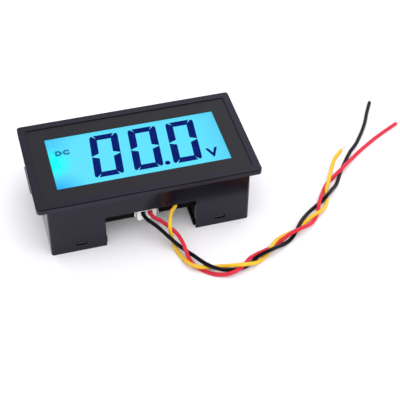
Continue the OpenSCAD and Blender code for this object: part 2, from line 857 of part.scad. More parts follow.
// Drawn on the +X side, at its free angle
module latch() {
  color([0.13, 0.13, 0.14])
    translate([latch_x, 0, latch_z]) {
      rotate([90, 0, 0])
        cylinder(r = latch_r, h = latch_room + 2 * trunnion, center = true);
      rotate([0, latch_angle, 0]) {
        translate([-latch_t / 2, -latch_w / 2, 0])
          cube([latch_t, latch_w, latch_len]);
        translate([0, latch_w / 2, latch_len])
          rotate([90, 0, 0])
            linear_extrude(latch_w)
              polygon([
                [latch_t / 2 - fit, -2.4], [latch_t / 2 + latch_step, -0.8],
                [latch_t / 2 + latch_step, 0], [latch_t / 2 - fit, 0]
              ]);
      }
    }
}

module latch_left() {
  mirror([1, 0, 0])
    latch();
}

module latch_right() {
  latch();
}

// ---------------------------------------------------------------- wires

function unit(v) = v / norm(v);

// The wire lies on the surface and never under it
function resting(route) = [for (p = route) [p[0], p[1], max(p[2], wire_d / 2)]];

function heading(route, i) =
  i == 0 ? unit(route[1] - route[0]) :
  i == len(route) - 1 ? unit(route[i] - route[i - 1]) :
  unit(route[i + 1] - route[i - 1]);

function ring(centre, along, r, sides) =
  let (side = unit(cross(along, [0, 0, 1])), top = cross(side, along))
  [for (k = [0:sides - 1]) centre + r * (cos(360 * k / sides) * side + sin(360 * k / sides) * top)];

module swept(route, r, sides = 8) {
  points = [for (i = [0:len(route) - 1]) each ring(route[i], heading(route, i), r, sides)];
  last = (len(route) - 1) * sides;
  faces = concat(
    [[for (k = [0:sides - 1]) k]],
    [for (i = [0:len(route) - 2], k = [0:sides - 1])
      let (a = i * sides + k, b = i * sides + (k + 1) % sides)
      [a, a + sides, b]],
    [for (i = [0:len(route) - 2], k = [0:sides - 1])
      let (a = i * sides + k, b = i * sides + (k + 1) % sides)
      [b, a + sides, b + sides]],
    [[for (k = [sides - 1:-1:0]) last + k]]
  );
  polyhedron(points, faces);
}

// The bare conductor past the end of a route
module wire_tip(route) {
  path = resting(route);
  end = path[len(path) - 1];
  along = heading(path, len(path) - 1);
  color([0.8, 0.78, 0.75])
    translate(end)
      rotate([0, 90 - asin(along[2]), atan2(along[1], along[0])])
        cylinder(r = core_r, h = core_l, $fn = 24);
}

module black_wire() {
  color([0.1, 0.11, 0.13])
    swept(resting(black_route), wire_d / 2);
}

module red_wire() {
  color([0.85, 0.15, 0.25])
    swept(resting(red_route), wire_d / 2);
}

module yellow_wire() {
  color([0.95, 0.75, 0.15])
    swept(resting(yellow_route), wire_d / 2);
}

module black_wire_tip() {
  wire_tip(black_route);
}

module red_wire_tip() {
  wire_tip(red_route);
}

module yellow_wire_tip() {
  wire_tip(yellow_route);
}

housing();
front_overlay();
lcd_front_polarizer();
lcd_front_glass();
lcd_segments();
lcd_edge_seal();
lcd_rear_glass();
lcd_rear_polarizer();
backlight_diffuser();
backlight_guide();
backlight_reflector();
backlight_lamp();
display_holder();
contact_strip_upper();
contact_strip_lower();
circuit_board();
converter_chip();
supply_capacitors();
film_capacitors();
chip_resistors();
voltage_regulator();
trimmer_body();
trimmer_screw();
pin_header();
header_pins();
plug_housing();
plug_contacts();
solder_joint();
rear_cover();
latch_left();
latch_right();
black_wire();
red_wire();
yellow_wire();
black_wire_tip();
red_wire_tip();
yellow_wire_tip();
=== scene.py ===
import math
import bmesh
import bpy
from mathutils import Matrix, Vector


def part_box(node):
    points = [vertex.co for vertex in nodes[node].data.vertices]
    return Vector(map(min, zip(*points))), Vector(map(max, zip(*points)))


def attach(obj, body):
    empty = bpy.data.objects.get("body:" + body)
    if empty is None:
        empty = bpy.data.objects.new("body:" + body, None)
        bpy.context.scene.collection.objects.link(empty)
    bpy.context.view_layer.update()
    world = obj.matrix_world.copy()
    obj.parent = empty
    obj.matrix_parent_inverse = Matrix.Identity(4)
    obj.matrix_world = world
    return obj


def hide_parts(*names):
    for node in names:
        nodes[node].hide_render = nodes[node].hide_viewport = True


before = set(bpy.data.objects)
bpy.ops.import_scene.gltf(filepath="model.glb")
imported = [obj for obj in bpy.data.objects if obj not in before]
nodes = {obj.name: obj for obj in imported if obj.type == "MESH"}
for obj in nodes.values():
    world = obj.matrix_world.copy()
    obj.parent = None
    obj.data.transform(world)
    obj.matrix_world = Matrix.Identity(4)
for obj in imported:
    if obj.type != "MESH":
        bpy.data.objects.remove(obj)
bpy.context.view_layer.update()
mm = 0.001
root = "meter"
print("frame loaded:", len(nodes), "nodes")


def inScene(name, data):
    thing = bpy.data.objects.new(name, data)
    bpy.context.collection.objects.link(thing)
    return thing


# Camera

cameraSettings = {
    "azimuth": -16.2,         # degrees, 0 looks along +Y
    "elevation": 45.35,
    "roll": 0.88,
    "distance": 405 * mm,
    "aim": (21.6 * mm, -6.2 * mm, 0),
    "lens": 98.4,
    "sensor": 36,
}


def makeCamera(s):
    azimuth, elevation, roll = (math.radians(s[key]) for key in ("azimuth", "elevation", "roll"))
    back = Vector((
        math.sin(azimuth) * math.cos(elevation),
        -math.cos(azimuth) * math.cos(elevation),
        math.sin(elevation),
    ))
    side = (-back).cross(Vector((0, 0, 1))).normalized()
    rise = side.cross(-back)
    right = math.cos(roll) * side + math.sin(roll) * rise
    up = -math.sin(roll) * side + math.cos(roll) * rise
    data = bpy.data.cameras.new("camera")
    data.lens = s["lens"]
    data.sensor_width = s["sensor"]
    data.clip_start, data.clip_end = 0.01, 10
    camera = inScene("camera", data)
    turn = Matrix((right, up, back)).transposed().to_4x4()
    camera.matrix_world = Matrix.Translation(Vector(s["aim"]) + back * s["distance"]) @ turn
    bpy.context.scene.camera = camera


makeCamera(cameraSettings)
print("camera ready")

# Shader maths


def feed(tree, socket, value):
    # A wire is linked to the socket, and anything else is its value
    if isinstance(value, Wire):
        tree.links.new(value.socket, socket)
    else:
        socket.default_value = value


class Wire:
    # One output socket. Arithmetic on it adds Math nodes.
    def __init__(self, tree, socket):
        self.tree, self.socket = tree, socket

    def math(self, operation, *values):
        node = self.tree.nodes.new("ShaderNodeMath")
        node.operation = operation
        for slot, value in zip(node.inputs, values):
            feed(self.tree, slot, value)
        return Wire(self.tree, node.outputs[0])

    def __add__(self, other):
        return self.math("ADD", self, other)

    def __radd__(self, other):
        return self.math("ADD", other, self)

    def __sub__(self, other):
        return self.math("SUBTRACT", self, other)

    def __rsub__(self, other):
        return self.math("SUBTRACT", other, self)

    def __mul__(self, other):
        return self.math("MULTIPLY", self, other)

    def __rmul__(self, other):
        return self.math("MULTIPLY", other, self)

    def __truediv__(self, other):
        return self.math("DIVIDE", self, other)

    def __rtruediv__(self, other):
        return self.math("DIVIDE", other, self)

    def __gt__(self, other):
        return self.math("GREATER_THAN", self, other)

    def __lt__(self, other):
        return self.math("LESS_THAN", self, other)

    def __abs__(self):
        return self.math("ABSOLUTE", self)

    def sine(self):
        return self.math("SINE", self)

    def squareRoot(self):
        return self.math("SQRT", self)

    def fraction(self):
        return self.math("FRACT", self)

    def atLeast(self, other):
        return self.math("MAXIMUM", self, other)

    def atMost(self, other):
        return self.math("MINIMUM", self, other)

    def clamped(self):
        return self.atMost(1).atLeast(0)


class Finish:
    # The nodes of a new material, or of a new world.
    def __init__(self, name, kind="Material"):
        store = bpy.data.worlds if kind == "World" else bpy.data.materials
        self.owner = store.new(name)
        self.owner.use_nodes = True
        self.tree = self.owner.node_tree
        self.tree.nodes.clear()
        self.output = self.tree.nodes.new("ShaderNodeOutput" + kind)

    def add(self, kind, settings=None, sockets=None, output=0):
        node = self.tree.nodes.new(kind)
        for key, value in (settings or {}).items():
            setattr(node, key, value)
        for key, value in (sockets or {}).items():
            feed(self.tree, node.inputs[key], value)
        return Wire(self.tree, node.outputs[output])

    def place(self, coordinates="Object"):
        return self.add("ShaderNodeTexCoord", output=coordinates)

    def axes(self, coordinates="Object"):
        split = self.tree.nodes.new("ShaderNodeSeparateXYZ")
        feed(self.tree, split.inputs[0], self.place(coordinates))
        return [Wire(self.tree, out) for out in split.outputs]

    def rays(self):
        # Which rays look at the surface: straight, mirrored and through glass
        return [self.add("ShaderNodeLightPath", output="Is " + kind + " Ray")
                for kind in ("Camera", "Glossy", "Transmission")]

    def noise(self, scale, detail=3, roughness=0.5):
        return self.add("ShaderNodeTexNoise", None, {
            "Vector": self.place(), "Scale": scale, "Detail": detail, "Roughness": roughness,
        })

    def blend(self, factor, first, second, mode="MIX"):
        # The sockets of a colour's Mix node share their names, so they go by number
        colourFactor, colourA, colourB, colourOut = 0, 6, 7, 2
        return self.add("ShaderNodeMix", {"data_type": "RGBA", "blend_type": mode}, {
            colourFactor: factor, colourA: first, colourB: second,
        }, colourOut)

    def bump(self, height, strength, distance):
        return self.add("ShaderNodeBump", None, {
            "Height": height, "Strength": strength, "Distance": distance,
        })

    def close(self, shader):
        feed(self.tree, self.output.inputs["Surface"], shader)
        return self.owner

    def surface(self, **sockets):
        names = {key.replace("_", " "): value for key, value in sockets.items()}
        return self.close(self.add("ShaderNodeBsdfPrincipled", None, names))


def rgb(red, green, blue):
    # A display colour, 0 to 255, as the linear colour that the sockets take
    def linear(value):
        value /= 255
        return value / 12.92 if value <= 0.04045 else ((value + 0.055) / 1.055) ** 2.4
    return (linear(red), linear(green), linear(blue), 1)


def paler(colour, gain, lift):
    return tuple(min(1, c * gain + lift) for c in colour[:3]) + (1,)


# Pieces


def dress(piece, material):
    piece.data.materials.clear()
    piece.data.materials.append(material)


def finishPiece(name, mesh, material, slotName, *replaced, body=root):
    piece = inScene(name, mesh)
    dress(piece, material)
    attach(piece, body)
    if replaced:
        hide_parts(*replaced)
    return piece


def meshFrom(bm, name, smooth=True):
    mesh = bpy.data.meshes.new(name)
    bm.to_mesh(mesh)
    bm.free()
    for face in mesh.polygons:
        face.use_smooth = smooth
    return mesh


def meshOf(drawing):
    # A drawn curve or text as a mesh
    holder = inScene(drawing.name, drawing)
    bpy.context.view_layer.update()
    mesh = bpy.data.meshes.new_from_object(holder.evaluated_get(bpy.context.evaluated_depsgraph_get()))
    bpy.data.objects.remove(holder)
    return mesh


# Plain materials

driftSettings = {
    "detail": 4,
    "noiseRoughness": 0.6,
    "lift": 0.004,            # what the palest spots gain besides their spread
    "gloss": 0.14,            # how far the roughness drifts
    "depth": 0.01,            # mm
}


def madeOf(name, colour, roughness, metal=0, scale=420, spread=0.35, coat=0):
    # One substance whose colour and gloss drift a little
    s = driftSettings
    finish = Finish(name)
    base = rgb(*colour)
    drift = finish.noise(scale, s["detail"], s["noiseRoughness"])
    return finish.surface(
        Base_Color=finish.blend(drift, base, paler(base, 1 + spread, s["lift"])),
        Metallic=metal,
        Roughness=roughness + s["gloss"] * (drift - 0.5),
        Coat_Weight=coat,
        Normal=finish.bump(drift, 0.3, s["depth"] * mm),
    )


tinSettings = {"colour": (206, 204, 200), "roughness": 0.28, "metal": 1, "scale": 900, "spread": 0.12}
strandSettings = {"colour": (236, 235, 232), "roughness": 0.5, "metal": 0.35, "scale": 900, "spread": 0.06}
tinned = madeOf("tinnedMetal", **tinSettings)
strandTin = madeOf("strandTin", **strandSettings)

# Wires

wireSettings = {
    "diameter": 1.4,          # mm
    "rest": 0.7,              # height of a lying wire's middle, mm
    "colours": {"black": (8, 9, 16), "red": (206, 38, 58), "yellow": (228, 182, 46)},
    "lengths": {"black": 155.5, "red": 151.3, "yellow": 135.3},
    "roughness": 0.36,
    "level": 0.22,            # how much the skin mirrors
    "grainDepth": 0.02,       # mm
}

tipSettings = {
    "length": 3.6,            # mm, as are the radii
    "strands": 6,             # round a middle one
    "radius": 0.135,
    "circle": 0.235,          # how far out a strand's middle lies
    "twist": 0.8,             # turns
    "steps": 9,
}

wireRoutes = {
    "black": [
        (-2.45, -16.7, 10.7), (-2.45, -18.4, 10.7), (-1.5, -20.4, 10), (0.3, -21.9, 8.9),
        (2.2, -23.6, 7.5), (4.2, -25.7, 5.8), (6.6, -28, 3.8), (9.1, -30.4, 2.2),
        (11.7, -34.6, 2.4), (13.5, -38.6, 3.3), (15.4, -41.2, 3.5), (17.8, -42.4, 2.7),
        (20.6, -42.6, 1.4), (23.8, -42.8, 0.8), (27.3, -42.6, 0.7), (30.6, -41.3, 0.8),
        (33, -40.2, 1.9), (35.5, -40.2, 3.3), (37.8, -39.8, 3.7), (41.1, -38, 2.6),
        (44.1, -36.3, 1.3), (46.7, -34.8, 0.9), (49, -33.2, 1.5), (50.6, -31.6, 2.2),
        (52.5, -29.2, 2.2), (54.9, -26.4, 1.6), (58.3, -23.2, 0.8), (61.6, -21, 0.7),
        (64, -19.6, 0.7), (65.4, -19, 1.5), (66.9, -18.2, 2.2), (69.9, -15.4, 1.6),
        (73.3, -11.8, 0.7), (77.3, -5.8, 0.7), (84.3, 3.1, 0.7), (88.3, 7, 0.7),
        (92.3, 11.9, 0.7), (96.3, 17.7, 0.7), (99.3, 23.1, 0.7), (102.9, 29.1, 0.7),
    ],
    "red": [
        (0.05, -16.7, 10.7), (0.05, -18.4, 10.7), (1.1, -20.1, 10.1), (3.1, -21, 8.8),
        (5.2, -22.3, 7.1), (7.7, -25.1, 5.4), (8.8, -29.1, 4.7), (9.2, -32.6, 3.6),
        (9.9, -35, 1.5), (11.5, -38.1, 0.7), (15.3, -42.1, 0.7), (19.7, -44.3, 1.1),
        (23, -44.7, 1.9), (25.9, -43.6, 2.1), (28.2, -42.1, 2.3), (30.3, -40.1, 2),
        (32.8, -38.2, 0.8), (36.3, -37.1, 0.7), (39.8, -36.2, 0.7), (42.2, -35.4, 0.8),
        (44, -34.9, 2), (46.8, -34.1, 3.3), (50.2, -33, 3.6), (54.6, -30.9, 2.4),
        (58.2, -28.1, 0.9), (60.6, -25.3, 0.7), (61.8, -23.2, 1.5), (62.8, -21.2, 2.5),
        (64.6, -18.3, 2.4), (67, -14.2, 0.8), (69.8, -10.9, 0.7), (72.3, -9.1, 0.8),
        (74.3, -8, 1.7), (77, -6.4, 2.3), (80.9, -3, 1.6), (86.3, 1.4, 0.7),
        (93.3, 6.1, 0.7), (100.3, 10.2, 0.7), (108.3, 14.3, 0.7),
    ],
    "yellow": [
        (11, -9.6, 13.3), (10.6, -12, 13.3), (9.9, -15.6, 13.2), (8.8, -19, 13),
        (7, -20.7, 12.1), (6.1, -22.4, 10.4), (5.5, -24.4, 8.2), (5.7, -25, 5.6),
        (6.1, -26, 2.9), (6.5, -28.4, 1.2), (7.6, -32.3, 0.9), (9, -36.7, 1.9),
        (11.2, -39.4, 2.4), (13.6, -40.1, 2.1), (16.6, -40.1, 1.3), (20.1, -40.6, 1.3),
        (23.2, -42.4, 2.7), (26.4, -43.7, 3.7), (29.9, -43.3, 2.7), (33, -41.6, 0.9),
        (36.2, -39.6, 0.9), (37.9, -38.5, 1.9), (39.5, -37, 2.4), (41.7, -34.5, 1.8),
        (44.3, -32.5, 0.8), (47.3, -31.5, 0.7), (51.3, -30.4, 0.7), (54.8, -27.9, 0.7),
        (57.5, -26.7, 1.5), (59.9, -26, 2.3), (62.9, -24.4, 1.9), (66.1, -20.4, 0.7),
        (67.5, -17, 0.7), (68.1, -14.6, 1.4), (69.6, -12.2, 2.3), (71.5, -8.7, 2.1),
        (74.1, -3.8, 0.8), (77.3, 1.1, 0.7), (81.5, 5.2, 0.7),
    ],
}


def vinyl(name, colour, s):
    finish = Finish(name)
    base = rgb(*colour)
    drift = finish.noise(90, 2)
    smear = finish.noise(700, 4)
    return finish.surface(
        Base_Color=finish.blend(drift, base, paler(base, 1.25, 0.003)),
        Roughness=s["roughness"] + 0.12 * (smear - 0.5),
        Specular_IOR_Level=s["level"],
        Normal=finish.bump(smear, 0.15, s["grainDepth"] * mm),
    )


def curveOf(name, radius, fineness):
    curve = bpy.data.curves.new(name, "CURVE")
    curve.dimensions = "3D"
    curve.bevel_depth = radius
    curve.bevel_resolution = fineness
    curve.resolution_u = 6
    curve.use_fill_caps = True
    return curve


def addSpline(curve, points, rest):
    # Handles follow the neighbours' direction, level where the wire lies down
    last = len(points) - 1
    spline = curve.splines.new("BEZIER")
    spline.bezier_points.add(last)
    for i, (knot, point) in enumerate(zip(spline.bezier_points, points)):
        before, after = points[max(i - 1, 0)], points[min(i + 1, last)]
        along = (after - before).normalized()
        if point.z < rest + 0.05 * mm:
            along.z = 0
        knot.handle_left_type = knot.handle_right_type = "FREE"
        knot.co = point
        knot.handle_left = point - along * (point - before).length / 3
        knot.handle_right = point + along * (after - point).length / 3
        for handle in (knot.handle_left, knot.handle_right):
            handle.z = max(handle.z, rest)


def makeWire(name, route, material, s):
    curve = curveOf(name, s["diameter"] / 2 * mm, 5)
    addSpline(curve, [Vector(point) * mm for point in route], s["rest"] * mm)
    curve.materials.append(material)
    return inScene(name, curve)


def makeStrands(colourName, route, s):
    # The bare end: strands laid round a middle one
    end, before = Vector(route[-1]) * mm, Vector(route[-2]) * mm
    along = (end - before).normalized()
    side = along.cross(Vector((0, 0, 1))).normalized()
    top = side.cross(along)
    curve = curveOf(colourName + "Strands", s["radius"] * mm, 2)
    for k in range(s["strands"] + 1):
        circle = s["circle"] * mm if k else 0
        points = []
        for i in range(s["steps"] + 1):
            part = i / s["steps"]
            turn = math.tau * (k / s["strands"] + s["twist"] * part)
            out = circle * (math.cos(turn) * side + math.sin(turn) * top)
            points.append(end + along * s["length"] * mm * part + out)
        addSpline(curve, points, 0)
    return finishPiece(curve.name, meshOf(curve), strandTin, "tinned_metal", colourName + "_wire_tip")


for colourName, route in wireRoutes.items():
    skin = vinyl(colourName + "Vinyl", wireSettings["colours"][colourName], wireSettings)
    lead = makeWire(colourName + "Lead", route, skin, wireSettings)
    strands = makeStrands(colourName, route, tipSettings)
    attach(lead, root)
    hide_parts(colourName + "_wire")
print("wires laid")

# Rounded edges

edgeSettings = {
    "merge": 0.002,           # mm between vertices that are one
    "flat": 0.5,              # degrees between faces that are one
    "hard": 28,               # degrees at an edge that is rounded
    "segments": 3,
    "sharp": 40,              # degrees past which the shading breaks
    "flatWeight": 90,         # how far the large faces set the shading
}


def softCopy(nodeName, width):
    # The node's own shape with its hard edges rounded as a mould leaves them
    s = edgeSettings
    bm = bmesh.new()
    bm.from_mesh(nodes[nodeName].data)
    bmesh.ops.remove_doubles(bm, verts=bm.verts, dist=s["merge"] * mm)
    bmesh.ops.dissolve_limit(
        bm, angle_limit=math.radians(s["flat"]), verts=bm.verts, edges=bm.edges,
        use_dissolve_boundaries=False,
    )
    hard = [e for e in bm.edges if e.is_manifold and e.calc_face_angle() > math.radians(s["hard"])]
    bmesh.ops.bevel(
        bm, geom=hard, offset=width * mm, offset_type="OFFSET", affect="EDGES",
        segments=s["segments"], profile=0.5, material=-1, clamp_overlap=True,
    )
    bmesh.ops.recalc_face_normals(bm, faces=bm.faces)
    return bm


def softPiece(name, nodeName, width, material, slotName, body=root):
    mesh = meshFrom(softCopy(nodeName, width), name)
    piece = finishPiece(name, mesh, material, slotName, nodeName, body=body)
    piece.data.set_sharp_from_angle(angle=math.radians(edgeSettings["sharp"]))
    weigh = piece.modifiers.new("flats", "WEIGHTED_NORMAL")   # keeps the flats flat beside their edges
    weigh.keep_sharp = True
    weigh.weight = edgeSettings["flatWeight"]


# Case

caseSettings = {
    "colour": (16, 15, 24),
    "flangeColour": (26, 24, 35),
    "flangeHeight": 23.55,    # mm, just behind the flange
    "wallRoughness": 0.16,
    "flangeRoughness": 0.32,
    "level": 0.31,            # how much the plastic mirrors
    "tint": (0.93, 0.9, 1.12, 1),
    "grain": 5200,            # noise cells to a metre
    "grainDepth": 0.0015,     # mm
    "clouds": 45,             # cells to a metre, as for the rubbed spots
    "rubs": 420,
    "edge": 0.15,             # radius of the moulded edges, mm
    "darkEdge": 0.42,         # reach of the painted dark reflection along the flange's edge, mm
    # colour of the painted dark reflection along the flange's edge
    "edgeShadeColour": (4, 4, 6),
}

coverSettings = {
    "colour": (5, 5, 7),
    "cloudColour": (9, 9, 11),
    "hookLitColour": (72, 70, 82),
    "roughness": 0.62,
    "level": 0.06,
    "grainDepth": 0.004,      # mm
    "edge": 0.16,
    "hookFrom": 18.6,         # mm from the middle, where only the hooks' ends are
    "hookHalf": 0.3,          # half height of the painted highlight on the hooks' ends, mm
    "hookHeight": 3.55,
}

latchSettings = {"colour": (15, 15, 19), "roughness": 0.22, "edge": 0.12}


def moulded(name, colour, roughness, flanged=False):
    # Moulded plastic: a spark-eroded grain, slow gloss changes, and rubbed high spots
    s = caseSettings
    finish = Finish(name)
    fine = finish.noise(s["grain"], 3, 0.6)
    cloud = finish.noise(s["clouds"], 3, 0.55)
    rubbed = (finish.noise(s["rubs"], 5, 0.65) - 0.55).clamped() * 2
    shade, dull = rgb(*colour), roughness
    if flanged:
        # The flange is duller than the walls, and its outer edge smoother, with a painted dark reflection
        # along it
        x, y, z = finish.axes()
        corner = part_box("housing")[1]
        onFlange = z > s["flangeHeight"] * mm
        out = (abs(x) - corner[0]).atLeast(abs(y) - corner[1])
        down = z - corner[2]
        onShadedEdge = (out * out + down * down).squareRoot() < s["darkEdge"] * mm
        shade = finish.blend(onFlange, shade, rgb(*s["flangeColour"]))
        shade = finish.blend(onShadedEdge, shade, rgb(*s["edgeShadeColour"]))
        dull = roughness + (onFlange - onShadedEdge) * (s["flangeRoughness"] - roughness)
    worn = finish.blend(1.0, shade, (1.35, 1.35, 1.35, 1), "MULTIPLY")
    return finish.surface(
        Base_Color=finish.blend((cloud * 0.4 + rubbed).clamped(), shade, worn),
        Roughness=dull + 0.08 * (cloud - 0.5) + 0.05 * (fine - 0.5),
        Specular_IOR_Level=s["level"],
        Specular_Tint=s["tint"],
        Normal=finish.bump(fine, 0.4, s["grainDepth"] * mm),
    )


def coverFinish(s):
    # Dull black, with a painted highlight along the middle of the hooks' ends in their slots
    finish = Finish("coverPlastic")
    y, z = finish.axes()[1:]
    fine = finish.noise(caseSettings["grain"], 3, 0.6)
    cloud = finish.noise(60, 3, 0.55)
    shade = finish.blend(cloud * 0.6, rgb(*s["colour"]), rgb(*s["cloudColour"]))
    # the middle of each hook's end gets the painted highlight, its edges stay black as the slots' shade
    onLitHook = (abs(y) > s["hookFrom"] * mm) * (abs(z - s["hookHeight"] * mm) < s["hookHalf"] * mm)
    return finish.surface(
        Base_Color=finish.blend(onLitHook, shade, rgb(*s["hookLitColour"])),
        Roughness=s["roughness"] + 0.1 * (cloud - 0.5) + 0.05 * (fine - 0.5),
        Specular_IOR_Level=s["level"],
        Normal=finish.bump(fine, 0.4, s["grainDepth"] * mm),
    )


casePlastic = moulded("casePlastic", caseSettings["colour"], caseSettings["wallRoughness"], flanged=True)
coverPlastic = coverFinish(coverSettings)
latchPlastic = moulded("latchPlastic", latchSettings["colour"], latchSettings["roughness"])
softPiece("caseShell", "housing", caseSettings["edge"], casePlastic, "housing_plastic")
softPiece("rearCover", "rear_cover", coverSettings["edge"], coverPlastic, "cover_plastic")
for side in ("left", "right"):
    latch = "latch_" + side
    softPiece(side + "Latch", latch, latchSettings["edge"], latchPlastic, "latch_plastic", body=latch)
print("case and latches made")

# Front overlay

overlaySettings = {
    "colour": (15, 14, 19),
    "tint": (0.97, 0.95, 1.06, 1),
    "roughness": 0.44,
    "level": 0.38,
    "grain": 2000,            # pebbles to a metre
    "grainDepth": 0.006,      # mm
}


def printedFilm(s):
    # Matt printed film: a fine pebbled grain and a faint cloudiness in the ink
    finish = Finish("overlayFilm")
    base = rgb(*s["colour"])
    pebble = finish.add("ShaderNodeTexVoronoi", {"feature": "SMOOTH_F1"}, {
        "Vector": finish.place(), "Scale": s["grain"], "Smoothness": 0.4,
    })
    ink = finish.noise(260, 4, 0.6)
    return finish.surface(
        Base_Color=finish.blend((pebble * 0.5 + ink * 0.4 - 0.1).clamped(), base, paler(base, 2, 0.006)),
        Roughness=s["roughness"] + 0.1 * (pebble - 0.5),
        Specular_IOR_Level=s["level"],
        Specular_Tint=s["tint"],
        Normal=finish.bump(pebble, 0.45, s["grainDepth"] * mm),
    )


dress(nodes["front_overlay"], printedFilm(overlaySettings))
print("overlay printed")

# Display

displaySettings = {
    "glow": (96, 225, 254),
    "cloud": (140, 218, 255),
    "cloudShare": 0.08,
    "spot": (2, 255, 250),        # where the lamp stands
    "spotPlace": (-30, 1.6),      # mm from the middle
    "spotReach": (7.5, 9),
    "spotGain": 1.35,
    "corner": (30, 172, 252),     # the corners at the lamp's end
    "cornerReach": 13,
    "cornerGain": 1.05,
    "cornerFall": 0.55,           # what the upper corner loses of it, and the lower gains
    "far": (88, 208, 246),        # the other end
    "farReach": 9,
    "brightness": 1.06,
}

inkSettings = {"colour": (2, 24, 96), "deep": (2, 8, 70), "glow": 0.5}

sheetSettings = {
    # the node, its colour, how much of it is seen, and its roughness
    "polarizerFilm": ("lcd_front_polarizer", (8, 20, 26), 0.035, 0.3),
    "cellGlass": ("lcd_front_glass", (8, 24, 28), 0.02, 0.05),
    "rearPolarizer": ("lcd_rear_polarizer", (60, 150, 170), 0.5, 0.3),
}


def litCell(s):
    # The lit cell, whose lamp stands at one end
    finish = Finish("litCell")
    x, y = finish.axes()[:2]
    low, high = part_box("lcd_rear_glass")
    spotX, spotY = s["spotPlace"]
    reachX, reachY = s["spotReach"]
    across = (x - spotX * mm) / (reachX * mm)
    along = (y - spotY * mm) / (reachY * mm)
    spot = (1 - (across * across + along * along).squareRoot()).clamped()
    fromEnd = x - low[0]
    fromSide = abs(y) - high[1]
    cornerAway = (fromEnd * fromEnd + fromSide * fromSide).squareRoot()
    corner = (1 - cornerAway / (s["cornerReach"] * mm)).clamped()
    corner = corner * (s["cornerGain"] - y / high[1] * s["cornerFall"])
    farEnd = (1 - (high[0] - x) / (s["farReach"] * mm)).clamped()
    glow = finish.blend(farEnd, rgb(*s["glow"]), rgb(*s["far"]))
    glow = finish.blend(finish.noise(60, 2) * s["cloudShare"], glow, rgb(*s["cloud"]))
    glow = finish.blend(corner.clamped(), glow, rgb(*s["corner"]))
    glow = finish.blend((spot * s["spotGain"]).clamped(), glow, rgb(*s["spot"]))
    return finish.surface(
        Base_Color=(0.01, 0.05, 0.06, 1),
        Roughness=0.3,
        Specular_IOR_Level=0,
        Emission_Color=glow,
        Emission_Strength=s["brightness"],
    )


# The segments and marks glow faintly: painted light of the backlight passing through them
def segmentInk(s):
    finish = Finish("segmentInk")
    depth = finish.noise(350, 3)
    return finish.surface(
        Base_Color=finish.blend(depth, rgb(*s["colour"]), rgb(*s["deep"])),
        Roughness=0.5,
        Specular_IOR_Level=0,
        Emission_Color=rgb(*s["colour"]),
        Emission_Strength=s["glow"],
    )


def clearSheet(name, colour, alpha, roughness):
    finish = Finish(name)
    smear = finish.noise(300, 3)
    return finish.surface(
        Base_Color=rgb(*colour),
        Roughness=roughness + 0.06 * (smear - 0.5),
        Alpha=alpha,
        Normal=finish.bump(smear, 0.05, 0.01 * mm),
    )


digitSettings = {
    "slant": 5.5,             # degrees
    "width": 9.5,             # mm, as the solids have it
    "pitch": 14.1,
    "wider": 1.06,            # how much wider a drawn digit is
    "shift": 0.2,             # mm to the right
    "sides": (1.13, 1),       # how much a side segment grows across and along the digit
    "ends": (0.96, 1.1),      # and one of the others
    "point": 3,               # what is smaller is the decimal point, mm
}


def islandsOf(bm):
    # The vertices of each connected part
    found, islands = set(), []
    for start in bm.verts:
        if start in found:
            continue
        found.add(start)
        island, waiting = [], [start]
        while waiting:
            vert = waiting.pop()
            island.append(vert)
            beside = [edge.other_vert(vert) for edge in vert.link_edges]
            fresh = [other for other in beside if other not in found]
            found.update(fresh)
            waiting += fresh
        islands.append(island)
    return islands


def boldSegments(s):
    # The digits' segments, a little bolder than their solids
    bm = bmesh.new()
    bm.from_mesh(nodes["lcd_segments"].data)
    bmesh.ops.remove_doubles(bm, verts=bm.verts, dist=edgeSettings["merge"] * mm)
    lean = math.tan(math.radians(s["slant"]))
    firstMiddle = min(v.co.x - lean * v.co.y for v in bm.verts) + s["width"] / 2 * mm
    pitch = s["pitch"] * mm
    for island in islandsOf(bm):
        upright = [(v.co.x - lean * v.co.y, v.co.y) for v in island]
        low = [min(axis) for axis in zip(*upright)]
        size = [max(axis) - least for axis, least in zip(zip(*upright), low)]
        if max(size) < s["point"] * mm:
            continue
        middleX, middleY = (least + span / 2 for least, span in zip(low, size))
        digitMiddle = firstMiddle + pitch * round((middleX - firstMiddle) / pitch)
        growX, growY = s["sides"] if size[1] > size[0] else s["ends"]
        for vert, (x, y) in zip(island, upright):
            x = middleX + (x - middleX) * growX
            y = middleY + (y - middleY) * growY
            x = digitMiddle + (x - digitMiddle) * s["wider"] + s["shift"] * mm
            vert.co.x, vert.co.y = x + lean * y, y
    return bm


inkMaterial = segmentInk(inkSettings)
dress(nodes["lcd_rear_glass"], litCell(displaySettings))
finishPiece("digitSegments", meshFrom(boldSegments(digitSettings), "digitSegments", False), inkMaterial,
            "segment_ink", "lcd_segments")
for sheetName, (nodeName, colour, alpha, roughness) in sheetSettings.items():
    dress(nodes[nodeName], clearSheet(sheetName, colour, alpha, roughness))

markSettings = {
    # The box is left, right, lower and upper, in mm on the display
    "DC": {"box": (-28.4, -23.3, 5.1, 7.6), "weight": 0.066, "spacing": 1.3, "thick": 0.1},
    "V": {"box": (23.7, 28, -9.2, -4.6), "weight": 0.03, "spacing": 1, "thick": 0.1},
}


